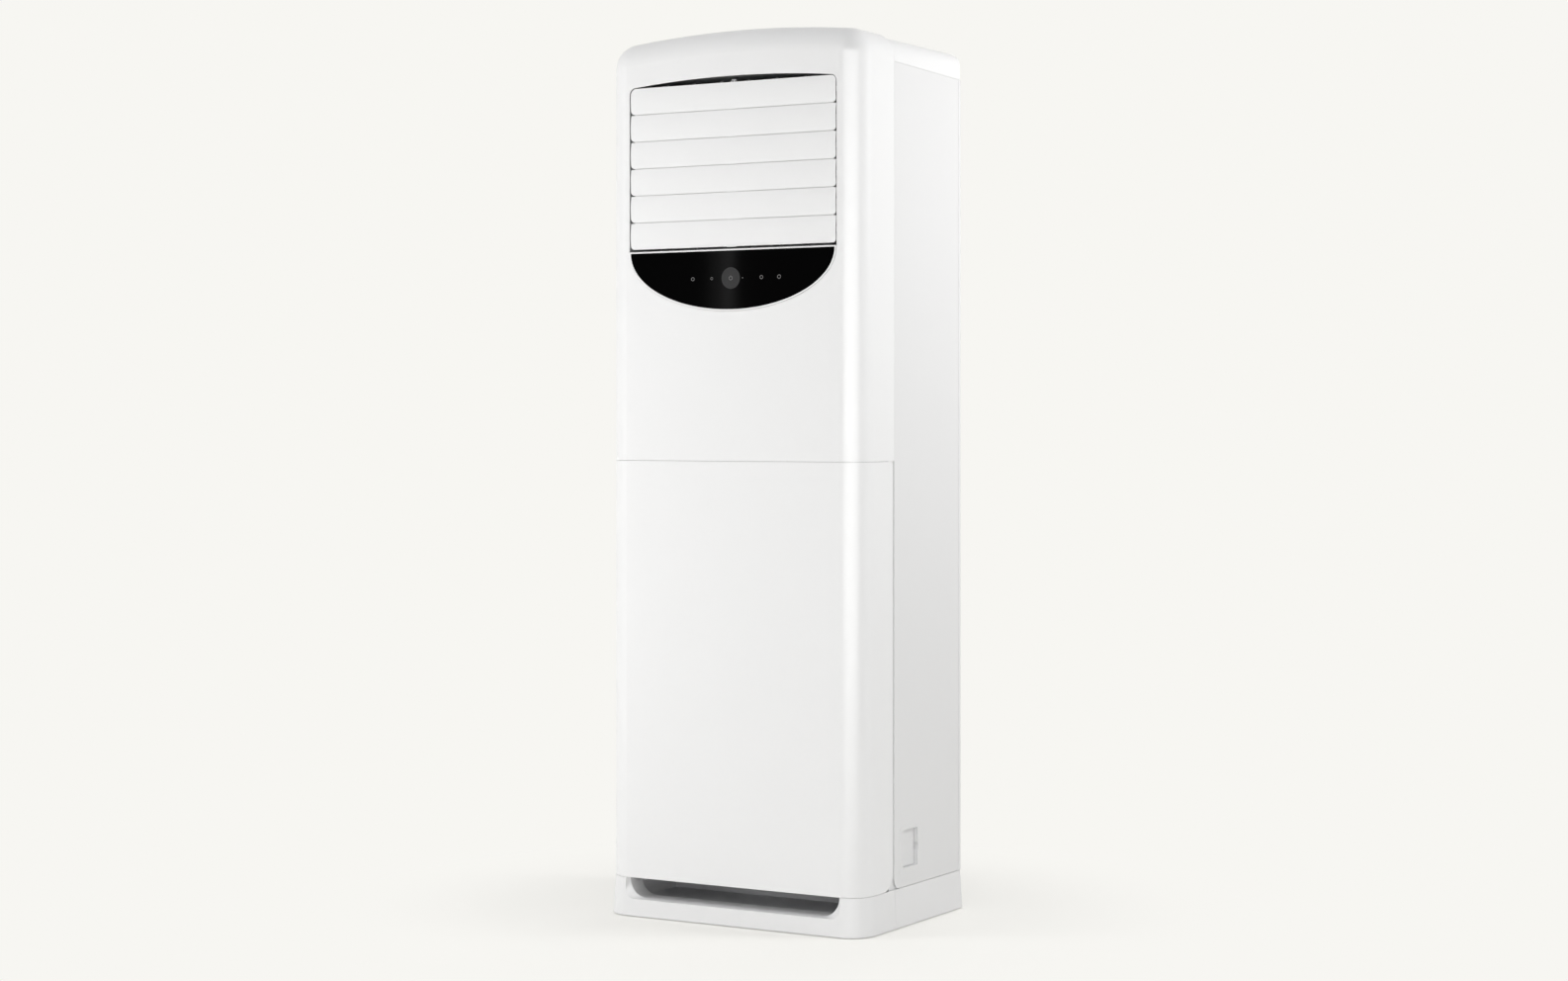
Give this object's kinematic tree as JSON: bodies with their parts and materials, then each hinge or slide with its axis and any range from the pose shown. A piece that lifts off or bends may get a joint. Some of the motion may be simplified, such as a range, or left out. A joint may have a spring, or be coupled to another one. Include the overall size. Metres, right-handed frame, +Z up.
{
  "type": "floor standing air conditioner",
  "caption": "Tall white indoor air conditioner: arched crown, horizontal louvres over a black half-moon display, split front, flared base with an air slot, and a blower and coil inside.",
  "frame": {"origin": "on the floor, under the middle of the unit's box", "axes": "+Z up, -Y out of the front face with the louvres, +X to the right as seen from the front"},
  "size_m": [0.61, 0.44, 1.809],
  "materials": {
    "shell_white": "satin white",
    "louvre_white": "satin white",
    "side_white": "fine powder coat",
    "zinc_steel": "zinc coated",
    "grey_plastic": "matte grey",
    "bezel_white": "satin white",
    "display_black": "high gloss",
    "key_black": "high gloss",
    "board_green": "solder mask",
    "motor_black": "satin black",
    "fan_black": "matte",
    "shaft_steel": "bright steel",
    "fin_aluminium": "plain",
    "copper": "bright copper",
    "foam_white": "matte white",
    "hose_grey": "soft grey",
    "black_rubber": "matte rubber"
  },
  "bodies": {
    "cabinet": {"upper_front_panel": "shell_white", "lower_front_panel": "shell_white", "front_skirt": "shell_white", "rear_skirt": "shell_white", "base_plate": "zinc_steel", "rubber_feet": "black_rubber", "intake_plenum": "zinc_steel", "uprights": "zinc_steel", "roof_plate": "zinc_steel", "blower_deck": "zinc_steel", "coil_cover": "zinc_steel", "left_side_panel": "side_white", "right_side_panel": "side_white", "service_pocket": "grey_plastic", "back_panel": "side_white", "outlet_grommet": "black_rubber", "cable_gland": "grey_plastic", "top_cover": "shell_white", "discharge_duct": "grey_plastic", "swing_motors": "motor_black", "display_bezel": "bezel_white", "display_lens": "display_black", "display_housing": "grey_plastic", "display_board": "board_green", "scroll_casing": "zinc_steel", "inlet_ring": "fan_black", "fan_motor": "motor_black", "motor_bracket": "zinc_steel", "coil_fins": "fin_aluminium", "coil_end_plates": "zinc_steel", "coil_tubes": "copper", "drain_pan": "foam_white", "drain_hose": "hose_grey", "gas_pipe": "copper", "liquid_pipe": "copper", "control_box": "zinc_steel", "main_board": "board_green", "control_cover": "zinc_steel", "screws": "shaft_steel"},
    "louvre_1": {"louvre_1": "louvre_white"},
    "louvre_2": {"louvre_2": "louvre_white"},
    "louvre_3": {"louvre_3": "louvre_white"},
    "louvre_4": {"louvre_4": "louvre_white"},
    "louvre_5": {"louvre_5": "louvre_white"},
    "louvre_6": {"louvre_6": "louvre_white"},
    "louvre_link": {"louvre_link": "grey_plastic"},
    "vane_1": {"vane_1": "grey_plastic"},
    "vane_2": {"vane_2": "grey_plastic"},
    "vane_3": {"vane_3": "grey_plastic"},
    "vane_4": {"vane_4": "grey_plastic"},
    "vane_5": {"vane_5": "grey_plastic"},
    "vane_6": {"vane_6": "grey_plastic"},
    "vane_7": {"vane_7": "grey_plastic"},
    "vane_link": {"vane_link": "grey_plastic"},
    "blower_wheel": {"fan_wheel": "fan_black", "motor_shaft": "shaft_steel"},
    "power_button": {"power_button": "key_black"},
    "air_filter": {"air_filter": "grey_plastic"},
    "service_flap": {"service_flap": "grey_plastic"}
  },
  "joints": [
    {"name": "louvre_1_tilt", "type": "hinge", "parent": "cabinet", "child": "louvre_1", "pos_m": [0, -0.198, 1.3954], "axis": [-1, 0, 0], "range_deg": [0, 80]},
    {"name": "louvre_2_tilt", "type": "hinge", "parent": "cabinet", "child": "louvre_2", "pos_m": [0, -0.198, 1.4508], "axis": [-1, 0, 0], "range_deg": [0, 80]},
    {"name": "louvre_3_tilt", "type": "hinge", "parent": "cabinet", "child": "louvre_3", "pos_m": [0, -0.198, 1.5062], "axis": [-1, 0, 0], "range_deg": [0, 80]},
    {"name": "louvre_4_tilt", "type": "hinge", "parent": "cabinet", "child": "louvre_4", "pos_m": [0, -0.198, 1.5616], "axis": [-1, 0, 0], "range_deg": [0, 80]},
    {"name": "louvre_5_tilt", "type": "hinge", "parent": "cabinet", "child": "louvre_5", "pos_m": [0, -0.198, 1.617], "axis": [-1, 0, 0], "range_deg": [0, 80]},
    {"name": "louvre_6_tilt", "type": "hinge", "parent": "cabinet", "child": "louvre_6", "pos_m": [0, -0.198, 1.6724], "axis": [-1, 0, 0], "range_deg": [0, 80]},
    {"name": "louvre_link_pivot", "type": "hinge", "parent": "louvre_1", "child": "louvre_link", "pos_m": [0, -0.201, 1.4254], "axis": [-1, 0, 0], "range_deg": [-80, 0]},
    {"name": "vane_1_swing", "type": "hinge", "parent": "cabinet", "child": "vane_1", "pos_m": [-0.198, -0.141, 1.5375], "axis": [0, 0, 1], "range_deg": [-40, 40]},
    {"name": "vane_2_swing", "type": "hinge", "parent": "cabinet", "child": "vane_2", "pos_m": [-0.132, -0.141, 1.5375], "axis": [0, 0, 1], "range_deg": [-40, 40]},
    {"name": "vane_3_swing", "type": "hinge", "parent": "cabinet", "child": "vane_3", "pos_m": [-0.066, -0.141, 1.5375], "axis": [0, 0, 1], "range_deg": [-40, 40]},
    {"name": "vane_4_swing", "type": "hinge", "parent": "cabinet", "child": "vane_4", "pos_m": [0, -0.141, 1.5375], "axis": [0, 0, 1], "range_deg": [-40, 40]},
    {"name": "vane_5_swing", "type": "hinge", "parent": "cabinet", "child": "vane_5", "pos_m": [0.066, -0.141, 1.5375], "axis": [0, 0, 1], "range_deg": [-40, 40]},
    {"name": "vane_6_swing", "type": "hinge", "parent": "cabinet", "child": "vane_6", "pos_m": [0.132, -0.141, 1.5375], "axis": [0, 0, 1], "range_deg": [-40, 40]},
    {"name": "vane_7_swing", "type": "hinge", "parent": "cabinet", "child": "vane_7", "pos_m": [0.198, -0.141, 1.5375], "axis": [0, 0, 1], "range_deg": [-40, 40]},
    {"name": "vane_link_pivot", "type": "hinge", "parent": "vane_1", "child": "vane_link", "pos_m": [-0.198, -0.127, 1.37], "axis": [0, 0, 1], "range_deg": [-40, 40]},
    {"name": "blower_spin", "type": "hinge", "parent": "cabinet", "child": "blower_wheel", "pos_m": [0, 0.054, 0.4], "axis": [0, 1, 0], "continuous": true},
    {"name": "power_button_press", "type": "slide", "parent": "cabinet", "child": "power_button", "axis": [0, 1, 0], "range_m": [0, 0.0008], "stiffness_N_per_m": 600},
    {"name": "air_filter_slide", "type": "slide", "parent": "cabinet", "child": "air_filter", "axis": [0, -1, 0], "range_m": [0, 0.12]},
    {"name": "service_flap_swing", "type": "hinge", "parent": "cabinet", "child": "service_flap", "pos_m": [0.291, -0.0374, 0.1555], "axis": [0, 0, -1], "range_deg": [0, 85]}
  ],
  "couplings": [
    {"joint": "louvre_2_tilt", "follows": "louvre_1_tilt", "ratio": 1},
    {"joint": "louvre_3_tilt", "follows": "louvre_1_tilt", "ratio": 1},
    {"joint": "louvre_4_tilt", "follows": "louvre_1_tilt", "ratio": 1},
    {"joint": "louvre_5_tilt", "follows": "louvre_1_tilt", "ratio": 1},
    {"joint": "louvre_6_tilt", "follows": "louvre_1_tilt", "ratio": 1},
    {"joint": "louvre_link_pivot", "follows": "louvre_1_tilt", "ratio": -1},
    {"joint": "vane_2_swing", "follows": "vane_1_swing", "ratio": 1},
    {"joint": "vane_3_swing", "follows": "vane_1_swing", "ratio": 1},
    {"joint": "vane_4_swing", "follows": "vane_1_swing", "ratio": 1},
    {"joint": "vane_5_swing", "follows": "vane_1_swing", "ratio": 1},
    {"joint": "vane_6_swing", "follows": "vane_1_swing", "ratio": 1},
    {"joint": "vane_7_swing", "follows": "vane_1_swing", "ratio": 1},
    {"joint": "vane_link_pivot", "follows": "vane_1_swing", "ratio": -1}
  ]
}
